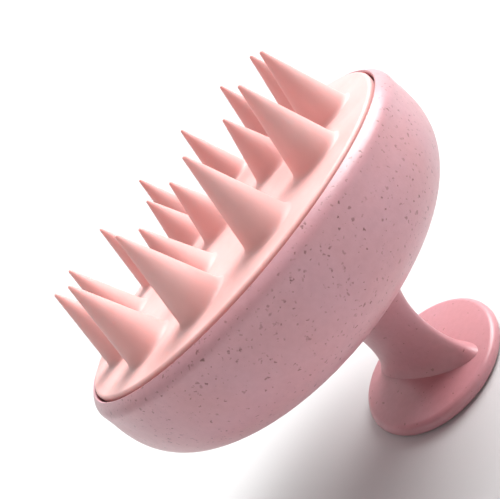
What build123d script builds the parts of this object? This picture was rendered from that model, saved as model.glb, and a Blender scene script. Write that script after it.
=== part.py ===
"""Scalp massager brush: a bowl-shaped shell on a short handle, with a pull-off head of soft conical bristles.

The brush stands on its palm disc with the bristles up. z = 0 is the disc's flat outer face, and x = y = 0 is the
bowl's axis. The handle's axis is parallel to it, set off mostly along +X.
"""
import os
from math import asin, atan, cos, hypot, sin

from build123d import *

# ---------------------------------------------------------------- driving dimensions, mm
# Handle: a palm disc, and a flat waisted stem whose section is an ellipse that spreads at both ends
palm_disc_radius = 16.7
palm_disc_thickness = 2.6
handle_x = 5.7
handle_y = -1.1
stem_turn = -59.0
stem_foot_sink = 0.4
stem_sections = (  # share of the way up the stem, half width and half thickness there
    (0.0, 14.2, 4.8),
    (0.075, 11.9, 3.8),
    (0.18, 10.3, 3.2),
    (0.33, 9.3, 3.0),
    (0.48, 9.3, 3.2),
    (0.62, 10.1, 3.9),
    (0.80, 12.3, 5.8),
    (1.0, 15.3, 9.2),
)

# Bowl: its back is a full curve down from the widest circle, and above that its side closes in to the lip
bowl_back_z = 27.4
bowl_depth = 18.4
bowl_radius = 40.2
bowl_fullness = 0.688
side_height = 8.0
lip_narrowing = 0.2
lip_drop = 0.5
lip_bevel_height = 2.4
lip_edge_rounding = 0.3
shell_wall = 2.1

# Tenon of the handle in the shell's boss, and the screw that holds it
tenon_radius = 5.0
tenon_flat = 3.8
tenon_length = 7.4
tenon_root = 1.0
tenon_clearance = 0.1
boss_wall = 3.4
boss_web = 2.4
screw_radius = 1.5
screw_length = 14.0
screw_head_radius = 3.2
screw_head_height = 2.2
screw_drive_radius = 1.3
screw_drive_depth = 1.3
screw_hole_clearance = 0.2

# Ribs that brace the boss inside the shell
rib_count = 6
rib_thickness = 1.6
rib_drop = 3.0

# Bristle head: carrier plate, its plug pegs, and the silicone pad moulded round its edge
pad_gap = 0.4
pad_skirt = 1.7
pad_sole = 4.0
pad_edge_rounding = 0.6
pad_hem = 0.8
pad_hem_width = 2.4
carrier_thickness = 2.0
peg_count = 4
peg_circle_radius = 27.0
peg_radius = 2.3
peg_length = 9.0
peg_tip_chamfer = 0.6
peg_clearance = 0.08
peg_bore_spare = 1.0
peg_tube_wall = 1.4
carrier_ring_radius = 17.0
carrier_rib_thickness = 1.6
carrier_rib_height = 3.2

# Bristles: an outer ring, an inner ring turned to the outer ring's gaps, and one on the axis
outer_bristle_count = 12
outer_ring_radius = 28.4
outer_ring_start = 8.0
outer_bristle_height = 15.9
inner_bristle_count = 3
inner_ring_radius = 15.1
inner_ring_start = -7.0
inner_bristle_height = 12.7
bristle_radius = 4.6
bristle_cove = 0.6
bristle_tip_radius = 0.35

# ---------------------------------------------------------------- places that follow from them
widest_z = bowl_back_z + bowl_depth
pad_top_z = widest_z + side_height
lip_top_z = pad_top_z - lip_drop
lip_outer_radius = bowl_radius - lip_narrowing
lip_side_z = lip_top_z - lip_bevel_height
mouth_radius = bowl_radius - shell_wall
pad_radius = mouth_radius - pad_gap
carrier_radius = pad_radius - pad_skirt
carrier_top_z = pad_top_z - pad_sole
carrier_z = carrier_top_z - carrier_thickness
tenon_top_z = bowl_back_z + tenon_length
boss_top_z = tenon_top_z + boss_web
boss_radius = tenon_radius + boss_wall
peg_tube_radius = peg_radius + peg_tube_wall


def bowl_curve(radius, back_z):
    """Half outline of the bowl's back, from its pole on the axis to its widest circle."""
    depth = widest_z - back_z
    Bezier(
        (0, back_z),
        (bowl_fullness * radius, back_z),
        (radius, widest_z - bowl_fullness * depth),
        (radius, widest_z),
    )


def d_section(radius, flat):
    """A circle with one side cut flat, so that what fits it can't turn."""
    Circle(radius)
    with Locations((flat, 0)):
        Rectangle(2 * radius, 2 * radius, align=(Align.MIN, Align.CENTER), mode=Mode.SUBTRACT)


def ring_locations(radius, count, start, z):
    """Evenly spaced places on a circle about the bowl's axis at one height."""
    return Locations(*[Location((p.position.X, p.position.Y, z)) for p in PolarLocations(radius, count, start)])


def bristle_outline(height):
    """Half outline of one bristle, from the middle of its foot round its cove and side to its round tip."""
    tip_centre = height - bristle_tip_radius
    foot_to_tip = hypot(bristle_radius, tip_centre)
    half_angle = atan(bristle_radius / tip_centre) - asin(bristle_tip_radius / foot_to_tip)
    tip_side = (bristle_tip_radius * cos(half_angle), tip_centre + bristle_tip_radius * sin(half_angle))
    cove_height = 2 * bristle_cove
    cove_top = (bristle_radius * (1 - cove_height / height), cove_height)
    foot_edge = (bristle_radius + bristle_cove, 0)
    Line((0, 0), foot_edge)
    Bezier(foot_edge, (bristle_radius, 0), cove_top)
    Line(cove_top, tip_side)
    RadiusArc(tip_side, (0, height), -bristle_tip_radius)
    Line((0, height), (0, 0))


# ---------------------------------------------------------------- the bowl's outer form, for trimming what meets it
with BuildPart() as bowl_form:
    with BuildSketch(Plane.XZ):
        with BuildLine():
            bowl_curve(bowl_radius, bowl_back_z)
            Line((bowl_radius, widest_z), (bowl_radius, lip_top_z))
            Line((bowl_radius, lip_top_z), (0, lip_top_z))
            Line((0, lip_top_z), (0, bowl_back_z))
        make_face()
    revolve(axis=Axis.Z)

# ---------------------------------------------------------------- shell
with BuildPart() as shell_inside:  # the handle's boss, its ribs and the peg tubes, up to their tops
    with Locations((handle_x, handle_y, bowl_back_z)):
        Cylinder(boss_radius, boss_top_z - bowl_back_z, align=(Align.CENTER, Align.CENTER, Align.MIN))
    with BuildSketch(Plane.XY.offset(bowl_back_z)):
        with Locations((handle_x, handle_y)):
            with PolarLocations(0, rib_count, start_angle=90):
                Rectangle(2 * bowl_radius, rib_thickness, align=(Align.MIN, Align.CENTER))
    extrude(amount=boss_top_z - rib_drop - bowl_back_z)
    with ring_locations(peg_circle_radius, peg_count, 45, bowl_back_z):
        Cylinder(peg_tube_radius, carrier_z - bowl_back_z, align=(Align.CENTER, Align.CENTER, Align.MIN))
    add(bowl_form.part, mode=Mode.INTERSECT)

with BuildPart() as shell:
    with BuildSketch(Plane.XZ):
        with BuildLine():
            lip_side = (lip_outer_radius, lip_side_z)
            lip_crest = (mouth_radius + lip_edge_rounding, lip_top_z)
            mouth_edge = (mouth_radius, lip_top_z - lip_edge_rounding)
            bowl_curve(bowl_radius, bowl_back_z)
            Bezier(
                (bowl_radius, widest_z),
                (bowl_radius, widest_z + side_height / 3),
                (lip_outer_radius, lip_side_z - side_height / 3),
                lip_side,
            )
            Bezier(lip_side, (lip_outer_radius, lip_side_z + lip_bevel_height / 2), lip_crest)
            RadiusArc(lip_crest, mouth_edge, -lip_edge_rounding)
            Line(mouth_edge, (mouth_radius, widest_z))
            bowl_curve(mouth_radius, bowl_back_z + shell_wall)
            Line((0, bowl_back_z + shell_wall), (0, bowl_back_z))
        make_face()
    revolve(axis=Axis.Z)
    add(shell_inside.part)
    with BuildSketch(Plane.XY):
        with Locations((handle_x, handle_y)):
            d_section(tenon_radius + tenon_clearance, tenon_flat + tenon_clearance)
    extrude(amount=tenon_top_z + tenon_clearance, mode=Mode.SUBTRACT)
    with Locations((handle_x, handle_y, boss_top_z)):
        Hole(screw_radius + screw_hole_clearance, depth=boss_web)
    with ring_locations(peg_circle_radius, peg_count, 45, carrier_z):
        Hole(peg_radius + peg_clearance, depth=peg_length + peg_bore_spare)
shell.part.label = "shell"

# ---------------------------------------------------------------- handle: palm disc, stem and tenon in one moulding
with BuildPart() as disc_and_stem:
    with BuildSketch(Plane.XZ):
        with BuildLine():
            edge_radius = palm_disc_thickness / 2
            rim_radius = palm_disc_radius - edge_radius
            Line((0, 0), (rim_radius, 0))
            ThreePointArc((rim_radius, 0), (palm_disc_radius, edge_radius), (rim_radius, palm_disc_thickness))
            Line((rim_radius, palm_disc_thickness), (0, palm_disc_thickness))
            Line((0, palm_disc_thickness), (0, 0))
        make_face()
    revolve(axis=Axis.Z)
    stem_foot_z = palm_disc_thickness - stem_foot_sink
    stem_root_z = bowl_back_z + shell_wall
    for share, half_width, half_thickness in stem_sections:
        with BuildSketch(Plane.XY.offset(stem_foot_z + share * (stem_root_z - stem_foot_z))):
            Ellipse(half_width, half_thickness, rotation=stem_turn)
    loft()

with BuildPart() as handle:
    with Locations((handle_x, handle_y)):
        add(disc_and_stem.part)
    add(bowl_form.part, mode=Mode.SUBTRACT)
    with BuildSketch(Plane.XY.offset(bowl_back_z - tenon_root)):
        with Locations((handle_x, handle_y)):
            d_section(tenon_radius, tenon_flat)
    extrude(amount=tenon_root + tenon_length)
    with Locations((handle_x, handle_y, tenon_top_z)):
        Hole(screw_radius, depth=screw_length - boss_web)
handle.part.label = "handle"

# ---------------------------------------------------------------- handle screw, driven from inside the shell
with BuildPart() as handle_screw:
    with Locations((handle_x, handle_y, boss_top_z - screw_length)):
        Cylinder(screw_radius, screw_length, align=(Align.CENTER, Align.CENTER, Align.MIN))
    with Locations((handle_x, handle_y, boss_top_z)):
        Cylinder(screw_head_radius, screw_head_height, align=(Align.CENTER, Align.CENTER, Align.MIN))
    head_rim = handle_screw.edges().filter_by(GeomType.CIRCLE).sort_by(Axis.Z)[-1]
    fillet(head_rim, screw_head_height / 2)
    with BuildSketch(Plane.XY.offset(boss_top_z + screw_head_height)):
        with Locations((handle_x, handle_y)):
            Rectangle(2 * screw_drive_radius, screw_drive_radius / 2)
            Rectangle(screw_drive_radius / 2, 2 * screw_drive_radius)
    extrude(amount=-screw_drive_depth, mode=Mode.SUBTRACT)
handle_screw.part.label = "handle_screw"

# ---------------------------------------------------------------- pad carrier: rigid plate with four plug pegs
with BuildPart() as pad_carrier:
    with Locations((0, 0, carrier_z)):
        Cylinder(carrier_radius, carrier_thickness, align=(Align.CENTER, Align.CENTER, Align.MIN))
    with BuildSketch(Plane.XY.offset(carrier_z)):
        Circle(carrier_ring_radius)
        Circle(carrier_ring_radius - carrier_rib_thickness, mode=Mode.SUBTRACT)
        with PolarLocations(0, peg_count, start_angle=0):
            Rectangle(carrier_ring_radius, carrier_rib_thickness, align=(Align.MIN, Align.CENTER))
    extrude(amount=-carrier_rib_height)
    with ring_locations(peg_circle_radius, peg_count, 45, carrier_z):
        Cylinder(peg_radius, peg_length, align=(Align.CENTER, Align.CENTER, Align.MAX))
    peg_tips = pad_carrier.faces().group_by(Axis.Z)[0].edges()
    chamfer(peg_tips, peg_tip_chamfer)
pad_carrier.part.label = "pad_carrier"

# ---------------------------------------------------------------- silicone pad, with a skirt and hem round the carrier
with BuildPart() as bristle_pad:
    with BuildSketch(Plane.XZ):
        with BuildLine():
            hem_z = carrier_z - pad_hem
            hem_radius = carrier_radius - pad_hem_width
            edge_start = (pad_radius, pad_top_z - pad_edge_rounding)
            Polyline((0, carrier_top_z), (carrier_radius, carrier_top_z), (carrier_radius, carrier_z),
                     (hem_radius, carrier_z), (hem_radius, hem_z), (pad_radius, hem_z), edge_start)
            RadiusArc(edge_start, (pad_radius - pad_edge_rounding, pad_top_z), -pad_edge_rounding)
            Polyline((pad_radius - pad_edge_rounding, pad_top_z), (0, pad_top_z), (0, carrier_top_z))
        make_face()
    revolve(axis=Axis.Z)
bristle_pad.part.label = "bristle_pad"

# ---------------------------------------------------------------- bristles, solid silicone cones standing on the pad
with BuildPart() as long_bristle:
    with BuildSketch(Plane.XZ):
        with BuildLine():
            bristle_outline(outer_bristle_height)
        make_face()
    revolve(axis=Axis.Z)

with BuildPart() as short_bristle:
    with BuildSketch(Plane.XZ):
        with BuildLine():
            bristle_outline(inner_bristle_height)
        make_face()
    revolve(axis=Axis.Z)

with BuildPart() as outer_bristles:
    with ring_locations(outer_ring_radius, outer_bristle_count, outer_ring_start, pad_top_z):
        add(long_bristle.part)
outer_bristles.part.label = "outer_bristles"

with BuildPart() as inner_bristles:
    with ring_locations(inner_ring_radius, inner_bristle_count, inner_ring_start, pad_top_z):
        add(short_bristle.part)
inner_bristles.part.label = "inner_bristles"

with BuildPart() as centre_bristle:
    with Locations((0, 0, pad_top_z)):
        add(short_bristle.part)
centre_bristle.part.label = "centre_bristle"

# ---------------------------------------------------------------- one STEP file per piece
os.makedirs("parts", exist_ok=True)
export_step(shell.part, "parts/shell.step")
export_step(handle.part, "parts/handle.step")
export_step(handle_screw.part, "parts/handle_screw.step")
export_step(pad_carrier.part, "parts/pad_carrier.step")
export_step(bristle_pad.part, "parts/bristle_pad.step")
export_step(outer_bristles.part, "parts/outer_bristles.step")
export_step(inner_bristles.part, "parts/inner_bristles.step")
export_step(centre_bristle.part, "parts/centre_bristle.step")
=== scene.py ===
"""Looks of the scalp massager brush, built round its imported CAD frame. Metres, +Z up along the bristles."""

import math

import bmesh
import bpy
from mathutils import Matrix, Vector
from mathutils.geometry import delaunay_2d_cdt


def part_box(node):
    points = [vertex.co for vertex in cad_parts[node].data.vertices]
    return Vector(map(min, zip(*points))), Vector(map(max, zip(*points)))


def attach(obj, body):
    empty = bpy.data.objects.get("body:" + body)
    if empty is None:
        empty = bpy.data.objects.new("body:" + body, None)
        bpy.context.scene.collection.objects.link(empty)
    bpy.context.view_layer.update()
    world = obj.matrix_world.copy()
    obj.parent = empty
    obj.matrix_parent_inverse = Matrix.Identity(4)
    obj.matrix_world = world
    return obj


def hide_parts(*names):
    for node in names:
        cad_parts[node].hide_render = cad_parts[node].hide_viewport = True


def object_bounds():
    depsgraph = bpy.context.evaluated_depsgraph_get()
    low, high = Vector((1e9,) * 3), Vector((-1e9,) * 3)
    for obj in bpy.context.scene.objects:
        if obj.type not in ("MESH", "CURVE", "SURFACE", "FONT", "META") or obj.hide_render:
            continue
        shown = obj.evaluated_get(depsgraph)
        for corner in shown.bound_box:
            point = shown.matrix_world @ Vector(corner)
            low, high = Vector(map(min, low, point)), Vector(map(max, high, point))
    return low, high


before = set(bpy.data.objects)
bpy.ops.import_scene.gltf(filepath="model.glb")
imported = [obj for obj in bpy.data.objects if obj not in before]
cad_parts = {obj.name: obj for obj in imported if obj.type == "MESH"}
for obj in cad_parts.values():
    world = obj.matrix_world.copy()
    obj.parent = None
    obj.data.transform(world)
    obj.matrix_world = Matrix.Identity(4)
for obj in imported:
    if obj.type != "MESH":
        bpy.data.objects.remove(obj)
cad_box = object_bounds()
MM = 0.001

# ------------------------------------------------------------------ places, from the frame
pad_low, pad_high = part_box("bristle_pad")
carrier_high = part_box("pad_carrier")[1]
outer_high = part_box("outer_bristles")[1]
inner_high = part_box("inner_bristles")[1]
centre_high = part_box("centre_bristle")[1]
PAD_RADIUS = pad_high.x
PAD_TOP = pad_high.z
HEM_Z = pad_low.z
CARRIER_RADIUS = carrier_high.x
CARRIER_TOP = carrier_high.z
BRISTLE_FOOT = centre_high.x
LONG_BRISTLE = outer_high.z - PAD_TOP
SHORT_BRISTLE = centre_high.z - PAD_TOP

# in each ring, the bristle at the start angle is the one that reaches farthest along +X
OUTER_COUNT = 12
OUTER_START = math.radians(8.0)
OUTER_RING = (outer_high.x - BRISTLE_FOOT) / math.cos(OUTER_START)
INNER_COUNT = 3
INNER_START = math.radians(-7.0)
INNER_RING = (inner_high.x - BRISTLE_FOOT) / math.cos(INNER_START)

# ------------------------------------------------------------------ sizes of the silicone moulding
BRISTLE_COVE = 0.6 * MM
BRISTLE_RADIUS = BRISTLE_FOOT - BRISTLE_COVE
TIP_RADIUS = 0.35 * MM
EDGE_ROUNDING = 0.6 * MM
PLATE_THICKNESS = 2.0 * MM
HEM_WIDTH = 2.4 * MM

# how finely its curves are divided
BRISTLE_TURNS = 48
RIM_TURNS = 192
COVE_STEPS = 6
SIDE_STEPS = 8
TIP_STEPS = 5
EDGE_STEPS = 8
CREASE_ANGLE = math.radians(40)


# ------------------------------------------------------------------ silicone moulding: pad and bristles
def ring_places(radius, count, start):
    """Evenly spaced places on a circle about the bowl's axis, at the pad's face."""
    angles = [start + math.tau * k / count for k in range(count)]
    return [Vector((radius * math.cos(a), radius * math.sin(a), PAD_TOP)) for a in angles]


def quadratic(a, b, c, steps):
    """Points on the curve from a to c that leaves a towards b and reaches c from b."""
    points = []
    for k in range(steps + 1):
        t = k / steps
        points.append(tuple((1 - t) ** 2 * p + 2 * t * (1 - t) * q + t * t * r for p, q, r in zip(a, b, c)))
    return points


def bristle_outline(height):
    """Radius and height pairs from the edge of a bristle's foot, up its cove and side, and over its tip."""
    tip_centre = height - TIP_RADIUS
    foot_to_tip = math.hypot(BRISTLE_RADIUS, tip_centre)
    half_angle = math.atan(BRISTLE_RADIUS / tip_centre) - math.asin(TIP_RADIUS / foot_to_tip)
    cove_top = (BRISTLE_RADIUS * (1 - 2 * BRISTLE_COVE / height), 2 * BRISTLE_COVE)
    tip_side = (TIP_RADIUS * math.cos(half_angle), tip_centre + TIP_RADIUS * math.sin(half_angle))
    outline = quadratic((BRISTLE_FOOT, 0), (BRISTLE_RADIUS, 0), cove_top, COVE_STEPS)
    for k in range(1, SIDE_STEPS + 1):
        outline.append(tuple(a + (b - a) * k / SIDE_STEPS for a, b in zip(cove_top, tip_side)))
    for k in range(1, TIP_STEPS):
        angle = half_angle + (math.pi / 2 - half_angle) * k / TIP_STEPS
        outline.append((TIP_RADIUS * math.cos(angle), tip_centre + TIP_RADIUS * math.sin(angle)))
    return outline + [(0, height)]


def pad_rim_outline():
    """Radius and height pairs from the pad's face, over its edge and hem, and in to the carrier's middle."""
    outline = []
    for k in range(EDGE_STEPS + 1):
        angle = math.pi / 2 * k / EDGE_STEPS
        inset = EDGE_ROUNDING * (1 - math.sin(angle))
        drop = EDGE_ROUNDING * (1 - math.cos(angle))
        outline.append((PAD_RADIUS - inset, PAD_TOP - drop))
    carrier_under = CARRIER_TOP - PLATE_THICKNESS
    hem_inner = CARRIER_RADIUS - HEM_WIDTH
    outline += [(PAD_RADIUS, HEM_Z), (hem_inner, HEM_Z), (hem_inner, carrier_under)]
    return outline + [(CARRIER_RADIUS, carrier_under), (CARRIER_RADIUS, CARRIER_TOP), (0, CARRIER_TOP)]


def lathe(mesh, outline, place, turns):
    """Turns an outline about the upright line through place; returns its first ring of vertices."""
    rings = []
    for radius, height in outline:
        count = turns if radius > 0 else 1
        angles = [math.tau * k / turns for k in range(count)]
        spots = [(radius * math.cos(a), radius * math.sin(a)) for a in angles]
        rings.append([mesh.verts.new((place.x + x, place.y + y, place.z + height)) for x, y in spots])
    for low, high in zip(rings, rings[1:]):
        for k in range(turns):
            after = (k + 1) % turns
            if len(high) == 1:
                mesh.faces.new((low[k], low[after], high[0]))
            else:
                mesh.faces.new((low[k], low[after], high[after], high[k]))
    return rings[0]


def fill_pad_face(mesh, rings, bristle_places):
    """Closes the flat face between the pad's edge and the bristles' feet, with nothing inside a foot."""
    corners, borders = [], []
    for ring in rings:
        first = len(corners)
        corners += ring
        borders += [(first + k, first + (k + 1) % len(ring)) for k in range(len(ring))]
    flat = [Vector((v.co.x, v.co.y)) / MM for v in corners]
    same_point_mm = 1e-6
    _, _, triangles, sources, _, _ = delaunay_2d_cdt(flat, borders, [], 0, same_point_mm)
    inside_foot = BRISTLE_FOOT * 0.999
    for triangle in triangles:
        trio = [corners[sources[i][0]] for i in triangle]
        middle = sum((v.co for v in trio), Vector()) / 3
        if all((middle - place).length > inside_foot for place in bristle_places):
            mesh.faces.new(trio)


def silicone_moulding():
    """Pad face, bristles, rounded edge, skirt and hem as one closed skin."""
    mesh = bmesh.new()
    long_places = ring_places(OUTER_RING, OUTER_COUNT, OUTER_START)
    short_places = ring_places(INNER_RING, INNER_COUNT, INNER_START) + [Vector((0, 0, PAD_TOP))]
    feet = [lathe(mesh, bristle_outline(LONG_BRISTLE), place, BRISTLE_TURNS) for place in long_places]
    feet += [lathe(mesh, bristle_outline(SHORT_BRISTLE), place, BRISTLE_TURNS) for place in short_places]
    face_edge = lathe(mesh, pad_rim_outline(), Vector((0, 0, 0)), RIM_TURNS)
    fill_pad_face(mesh, feet + [face_edge], long_places + short_places)
    bmesh.ops.recalc_face_normals(mesh, faces=mesh.faces)
    for face in mesh.faces:
        face.smooth = True
    data = bpy.data.meshes.new("silicone_moulding")
    mesh.to_mesh(data)
    mesh.free()
    data.set_sharp_from_angle(angle=CREASE_ANGLE)
    piece = bpy.data.objects.new("silicone_moulding", data)
    bpy.context.scene.collection.objects.link(piece)
    return piece


# ------------------------------------------------------------------ node helpers
class Nodes:
    """A material, with short calls that add its shader nodes and join them."""

    def __init__(self, name):
        self.material = bpy.data.materials.new(name)
        self.material.use_nodes = True
        self.tree = self.material.node_tree
        self.shader = self.tree.nodes["Principled BSDF"]
        coords = self.add("ShaderNodeTexCoord")
        scale = self.add("ShaderNodeVectorMath", operation="SCALE")
        scale.inputs["Scale"].default_value = 1 / MM
        self.join(coords.outputs["Object"], scale.inputs[0])
        self.place_mm = scale.outputs[0]

    def add(self, kind, **settings):
        node = self.tree.nodes.new(kind)
        for key, value in settings.items():
            setattr(node, key, value)
        return node

    def join(self, out_socket, in_socket):
        self.tree.links.new(out_socket, in_socket)

    def set(self, **values):
        """Sets plain values on the shader, its inputs' names written with _ for each space."""
        for key, value in values.items():
            self.shader.inputs[key.replace("_", " ")].default_value = value

    def noise(self, per_mm, detail):
        node = self.add("ShaderNodeTexNoise")
        node.inputs["Scale"].default_value = per_mm
        node.inputs["Detail"].default_value = detail
        self.join(self.place_mm, node.inputs["Vector"])
        return node

    def drift(self, per_mm, detail, low, high, start=0.3, end=0.7):
        """A value that wanders from low to high, as the noise goes from start to end."""
        node = self.add("ShaderNodeValToRGB")
        for element, position, value in zip(node.color_ramp.elements, (start, end), (low, high)):
            element.position = position
            element.color = (value, value, value, 1)
        self.join(self.noise(per_mm, detail).outputs["Fac"], node.inputs["Fac"])
        return node.outputs["Color"]

    def math(self, operation, *values):
        node = self.add("ShaderNodeMath", operation=operation)
        for socket, value in zip(node.inputs, values):
            if isinstance(value, (int, float)):
                socket.default_value = value
            else:
                self.join(value, socket)
        return node.outputs[0]

    def mix(self, factor, a, b):
        """Mixes two colours; the node's own sockets for a colour are 6, 7 and, going out, 2."""
        node = self.add("ShaderNodeMix", data_type="RGBA")
        self.join(factor, node.inputs[0])
        for socket, value in zip(node.inputs[6:8], (a, b)):
            if isinstance(value, tuple):
                socket.default_value = (*value, 1)
            else:
                self.join(value, socket)
        return node.outputs[2]

    def colour(self, source):
        self.join(source, self.shader.inputs["Base Color"])

    def roughness(self, source):
        self.join(source, self.shader.inputs["Roughness"])

    def bump(self, height, distance_mm):
        node = self.add("ShaderNodeBump")
        node.inputs["Distance"].default_value = distance_mm * MM
        self.join(height, node.inputs["Height"])
        self.join(node.outputs["Normal"], self.shader.inputs["Normal"])

    def specks(self, spacing_mm, size, share, softness, stretch=(1, 1, 1)):
        """A mask of scattered specks: one in each Voronoi cell, kept in that share of the cells.

        size and softness are shares of the spacing, and each speck has a size and a darkness of its own.
        """
        smallest, palest, wobble_mm = 0.3, 0.35, 0.9
        wobble = self.noise(per_mm=1.6, detail=1.0)
        shift = self.add("ShaderNodeVectorMath", operation="MULTIPLY_ADD")
        self.join(wobble.outputs["Color"], shift.inputs[0])
        shift.inputs[1].default_value = (wobble_mm, wobble_mm, wobble_mm)
        self.join(self.place_mm, shift.inputs[2])
        squeeze = self.add("ShaderNodeVectorMath", operation="MULTIPLY")
        self.join(shift.outputs[0], squeeze.inputs[0])
        squeeze.inputs[1].default_value = stretch
        cells = self.add("ShaderNodeTexVoronoi", feature="F1")
        cells.inputs["Scale"].default_value = 1 / spacing_mm
        self.join(squeeze.outputs[0], cells.inputs["Vector"])
        # each cell's colour is three random numbers: which are kept, how large they are and how dark
        split = self.add("ShaderNodeSeparateColor")
        self.join(cells.outputs["Color"], split.inputs[0])
        kept = self.math("LESS_THAN", split.outputs[0], share)
        reach = self.math("MULTIPLY_ADD", split.outputs[1], size * (1 - smallest), size * smallest)
        edge = self.math("DIVIDE", self.math("SUBTRACT", reach, cells.outputs["Distance"]), softness)
        edge.node.use_clamp = True
        tone = self.math("MULTIPLY_ADD", split.outputs[2], 1 - palest, palest)
        return self.math("MULTIPLY", self.math("MULTIPLY", edge, kept), tone)


# ------------------------------------------------------------------ materials
SHELL_PINK = (0.545, 0.288, 0.325)
SHELL_PINK_WARM = (0.545, 0.275, 0.300)
SPECK_BROWN = (0.18, 0.070, 0.070)
HANDLE_PINK = (0.51, 0.240, 0.270)
HANDLE_PINK_WARM = (0.50, 0.225, 0.245)
SILICONE = (0.75, 0.430, 0.410)
SILICONE_WARM = (0.735, 0.400, 0.380)
CARRIER_IVORY = (0.80, 0.74, 0.71)
CARRIER_IVORY_PALE = (0.84, 0.79, 0.76)
ZINC = (0.56, 0.57, 0.60)
ZINC_PALE = (0.68, 0.68, 0.69)


def wheat_straw_plastic(name, pink, warm, amount):
    """Satin pink plastic with fine dark fibre specks; amount says how many of them show."""
    n = Nodes(name)
    dust_strength, speck_dent = 0.85, -0.8
    base = n.mix(n.drift(per_mm=0.09, detail=3.0, low=0.0, high=1.0, start=0.35, end=0.65), pink, warm)
    cloud = n.drift(per_mm=0.9, detail=3.0, low=0.0, high=0.10, start=0.3, end=0.75)
    base = n.mix(cloud, base, SPECK_BROWN)
    dust = n.specks(spacing_mm=0.80, size=0.34, share=0.90 * amount, softness=0.16)
    crumbs = n.specks(spacing_mm=1.30, size=0.27, share=0.75 * amount, softness=0.12)
    squeezed = (0.55, 1.0, 1.25)
    fibres = n.specks(spacing_mm=2.1, size=0.17, share=0.70 * amount, softness=0.09, stretch=squeezed)
    mask = n.math("MAXIMUM", n.math("MULTIPLY", dust, dust_strength), n.math("MAXIMUM", crumbs, fibres))
    n.colour(n.mix(mask, base, SPECK_BROWN))
    n.roughness(n.drift(per_mm=0.35, detail=4.0, low=0.30, high=0.38))
    n.set(IOR=1.49, Subsurface_Weight=0.12, Subsurface_Radius=(1.0, 0.45, 0.40), Subsurface_Scale=1.2 * MM)
    grain = n.noise(per_mm=3.0, detail=2.0).outputs["Fac"]
    n.bump(n.math("ADD", grain, n.math("MULTIPLY", mask, speck_dent)), distance_mm=0.012)
    return n.material


def silicone():
    """Soft matt silicone: a little light passes through, with the faintest moulding grain."""
    n = Nodes("silicone")
    tone = n.drift(per_mm=0.12, detail=2.0, low=0.0, high=1.0, start=0.35, end=0.65)
    n.colour(n.mix(tone, SILICONE, SILICONE_WARM))
    n.roughness(n.drift(per_mm=0.5, detail=3.0, low=0.44, high=0.52))
    n.set(IOR=1.42, Subsurface_Weight=0.35, Subsurface_Radius=(1.0, 0.42, 0.34), Subsurface_Scale=2.0 * MM)
    n.bump(n.noise(per_mm=2.2, detail=3.0).outputs["Fac"], distance_mm=0.010)
    return n.material


def carrier_plastic():
    """Plain ivory plastic with no specks, for the plate that is hidden behind the pad."""
    n = Nodes("carrier_plastic")
    tone = n.drift(per_mm=0.2, detail=3.0, low=0.0, high=1.0)
    n.colour(n.mix(tone, CARRIER_IVORY, CARRIER_IVORY_PALE))
    n.roughness(n.drift(per_mm=0.6, detail=3.0, low=0.38, high=0.5))
    n.bump(n.noise(per_mm=2.5, detail=2.0).outputs["Fac"], distance_mm=0.01)
    return n.material


def zinc_steel():
    """Bright zinc-plated steel with a slightly uneven sheen, for the screw."""
    n = Nodes("zinc_steel")
    n.colour(n.mix(n.drift(per_mm=1.5, detail=4.0, low=0.0, high=1.0), ZINC, ZINC_PALE))
    n.roughness(n.drift(per_mm=4.0, detail=3.0, low=0.24, high=0.38))
    n.set(Metallic=1.0)
    return n.material


def dress(node_name, material):
    """Gives a carried-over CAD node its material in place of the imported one."""
    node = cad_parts[node_name]
    node.data.materials.clear()
    node.data.materials.append(material)


dress("shell", wheat_straw_plastic("shell_plastic", SHELL_PINK, SHELL_PINK_WARM, amount=1.0))
dress("handle", wheat_straw_plastic("handle_plastic", HANDLE_PINK, HANDLE_PINK_WARM, amount=0.16))
dress("handle_screw", zinc_steel())
dress("pad_carrier", carrier_plastic())

moulding = silicone_moulding()
moulding.data.materials.append(silicone())
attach(moulding, "bristle_head")
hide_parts("bristle_pad", "outer_bristles", "inner_bristles", "centre_bristle")

# ------------------------------------------------------------------ floor, light and camera
FLOOR_WHITE = (0.62, 0.62, 0.62)
FLOOR_REACH = 6.0


def floor():
    """A plain pale sheet of paper at the level the palm disc stands on."""
    mesh = bpy.data.meshes.new("floor")
    reach = FLOOR_REACH
    corners = [(-reach, -reach, 0), (reach, -reach, 0), (reach, reach, 0), (-reach, reach, 0)]
    mesh.from_pydata(corners, [], [(0, 1, 2, 3)])
    plane = bpy.data.objects.new("floor", mesh)
    bpy.context.scene.collection.objects.link(plane)
    n = Nodes("floor_paper")
    n.set(Base_Color=(*FLOOR_WHITE, 1), Roughness=0.9, Specular_IOR_Level=0.1)
    mesh.materials.append(n.material)


def soft_light(name, direction, distance, size, power):
    """A square softbox at that direction from the object's middle, facing it."""
    lamp = bpy.data.lights.new(name, "AREA")
    lamp.size = size
    lamp.energy = power
    holder = bpy.data.objects.new(name, lamp)
    middle = Vector((0, 0, (cad_box[0].z + cad_box[1].z) / 2))
    holder.location = middle + Vector(direction).normalized() * distance
    holder.rotation_euler = (middle - holder.location).to_track_quat("-Z", "Y").to_euler()
    bpy.context.scene.collection.objects.link(holder)


def key_light(direction, strength, softness_degrees):
    """One broad, distant light, so that the floor is as pale far away as it is near."""
    lamp = bpy.data.lights.new("key", "SUN")
    lamp.energy = strength
    lamp.angle = math.radians(softness_degrees)
    holder = bpy.data.objects.new("key", lamp)
    holder.rotation_euler = Vector(direction).to_track_quat("Z", "Y").to_euler()
    bpy.context.scene.collection.objects.link(holder)


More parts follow.
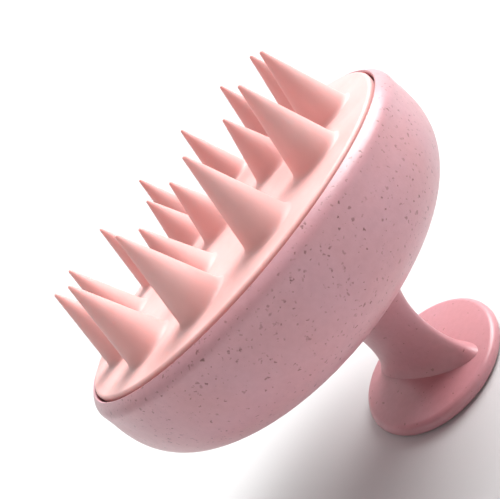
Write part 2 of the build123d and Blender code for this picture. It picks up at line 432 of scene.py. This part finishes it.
def studio_world(bright_side, bright, horizon, dim):
    """A surround that is bright on one side, as if by a window, and pale all round at the horizon."""
    world = bpy.data.worlds.new("studio")
    world.use_nodes = True
    tree = world.node_tree

    def node(kind, **settings):
        made = tree.nodes.new(kind)
        for key, value in settings.items():
            setattr(made, key, value)
        return made

    def fade(source, start, end, start_value, end_value):
        made = node("ShaderNodeMapRange", interpolation_type="SMOOTHSTEP")
        for socket, value in zip(made.inputs[1:5], (start, end, start_value, end_value)):
            socket.default_value = value
        tree.links.new(source, made.inputs["Value"])
        return made.outputs["Result"]

    coords = node("ShaderNodeTexCoord")
    facing = node("ShaderNodeVectorMath", operation="DOT_PRODUCT")
    facing.inputs[1].default_value = Vector(bright_side).normalized()
    tree.links.new(coords.outputs["Generated"], facing.inputs[0])
    split = node("ShaderNodeSeparateXYZ")
    tree.links.new(coords.outputs["Generated"], split.inputs[0])
    side_glow = fade(facing.outputs["Value"], start=0.25, end=0.75, start_value=dim, end_value=bright)
    horizon_glow = fade(split.outputs["Z"], start=0.15, end=0.60, start_value=horizon, end_value=dim)
    strongest = node("ShaderNodeMath", operation="MAXIMUM")
    tree.links.new(side_glow, strongest.inputs[0])
    tree.links.new(horizon_glow, strongest.inputs[1])
    background = tree.nodes["Background"]
    background.inputs["Color"].default_value = (1, 1, 1, 1)
    tree.links.new(strongest.outputs[0], background.inputs["Strength"])
    bpy.context.scene.world = world


def main_camera():
    """The camera looks along +Y and a little down, rolled so that the bristles point to the upper left."""
    elevation = math.radians(14.5)
    roll = math.radians(-50.2)
    distance = 116.1 * MM
    aim = Vector((0.0, -1.8 * MM, PAD_TOP - 6.8 * MM))
    forward = Vector((0, math.cos(elevation), -math.sin(elevation)))
    level_right = Vector((1, 0, 0))
    level_up = level_right.cross(forward)
    right = level_right * math.cos(roll) + level_up * math.sin(roll)
    up = right.cross(forward)
    camera = bpy.data.cameras.new("main_camera")
    camera.lens = 44.17
    camera.sensor_width = 36.0
    camera.clip_start = 0.005
    camera.clip_end = 50.0
    holder = bpy.data.objects.new("main_camera", camera)
    turn = Matrix((right, up, -forward)).transposed().to_4x4()
    holder.matrix_world = Matrix.Translation(aim - forward * distance) @ turn
    bpy.context.scene.collection.objects.link(holder)
    bpy.context.scene.camera = holder


floor()
studio_world(bright_side=(0.05, 0.95, 0.30), bright=1.1, horizon=0.80, dim=0.10)
key_light(direction=(0.68, 0.25, 0.69), strength=6.0, softness_degrees=46)
soft_light("bristle_side", direction=(0.00, 0.10, 1.0), distance=0.70, size=0.50, power=0.6)
main_camera()
bpy.context.scene.view_settings.view_transform = "Standard"
